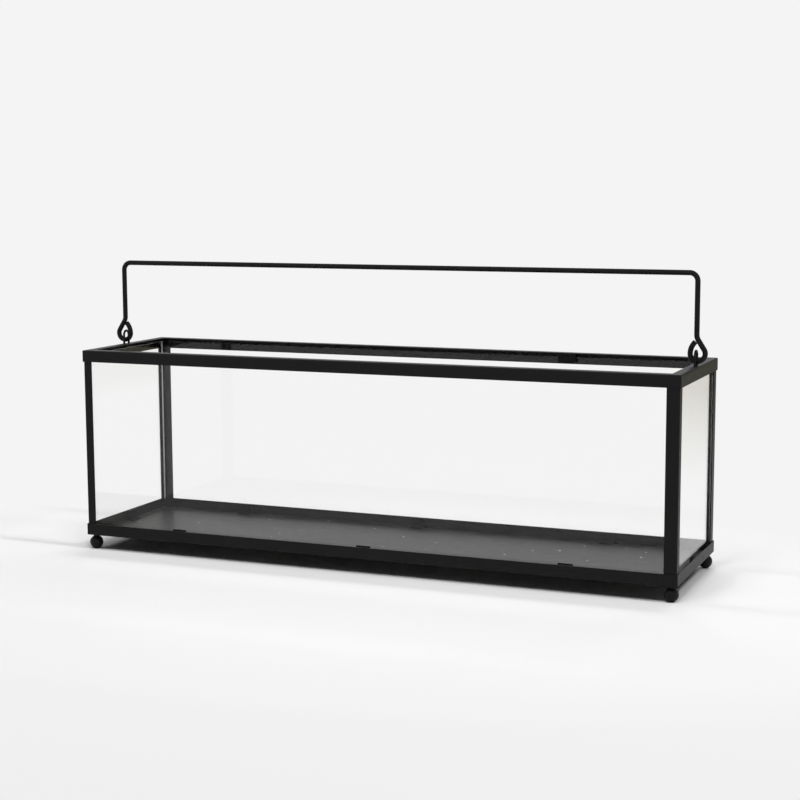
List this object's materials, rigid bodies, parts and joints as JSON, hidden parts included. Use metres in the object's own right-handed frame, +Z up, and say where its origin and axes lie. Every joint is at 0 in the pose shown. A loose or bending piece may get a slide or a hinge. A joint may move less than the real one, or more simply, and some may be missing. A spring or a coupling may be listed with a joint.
{
  "type": "hurricane candle lantern",
  "caption": "Long open-top candle lantern with a black folded-metal frame, clear glass on all sides, ball feet and a swinging wire handle.",
  "frame": {"origin": "on the ground, under the middle of the lantern", "axes": "+X along the length, +Y from the front to the back, +Z up"},
  "size_m": [0.6126, 0.152, 0.2855],
  "materials": {
    "black_frame": "satin black paint",
    "black_floor": "satin black paint",
    "black_wire": "satin black paint",
    "black_feet": "satin black paint",
    "clear_glass": "clear, ground edges"
  },
  "bodies": {
    "lantern": {"ball_foot_back_left": "black_feet", "ball_foot_back_right": "black_feet", "ball_foot_front_left": "black_feet", "ball_foot_front_right": "black_feet", "base_rail_back": "black_frame", "base_rail_front": "black_frame", "base_rail_left": "black_frame", "base_rail_right": "black_frame", "corner_post_back_left": "black_frame", "corner_post_back_right": "black_frame", "corner_post_front_left": "black_frame", "corner_post_front_right": "black_frame", "floor_plate": "black_floor", "floor_tab_back_left": "black_frame", "floor_tab_back_middle": "black_frame", "floor_tab_back_right": "black_frame", "floor_tab_front_left": "black_frame", "floor_tab_front_middle": "black_frame", "floor_tab_front_right": "black_frame", "floor_tab_left_end": "black_frame", "floor_tab_right_end": "black_frame", "glass_pane_back": "clear_glass", "glass_pane_front": "clear_glass", "glass_pane_left": "clear_glass", "glass_pane_right": "clear_glass", "handle_staple_left": "black_wire", "handle_staple_right": "black_wire", "rim_rail_back": "black_frame", "rim_rail_front": "black_frame", "rim_rail_left": "black_frame", "rim_rail_right": "black_frame", "rim_tab_back_right": "black_frame", "rim_tab_front_left": "black_frame"},
    "handle": {"carry_handle": "black_wire"}
  },
  "joints": [
    {"name": "handle_swing", "type": "hinge", "parent": "lantern", "child": "handle", "pos_m": [0, 0, 0.2041], "axis": [1, 0, 0], "range_deg": [-90, 90]}
  ]
}
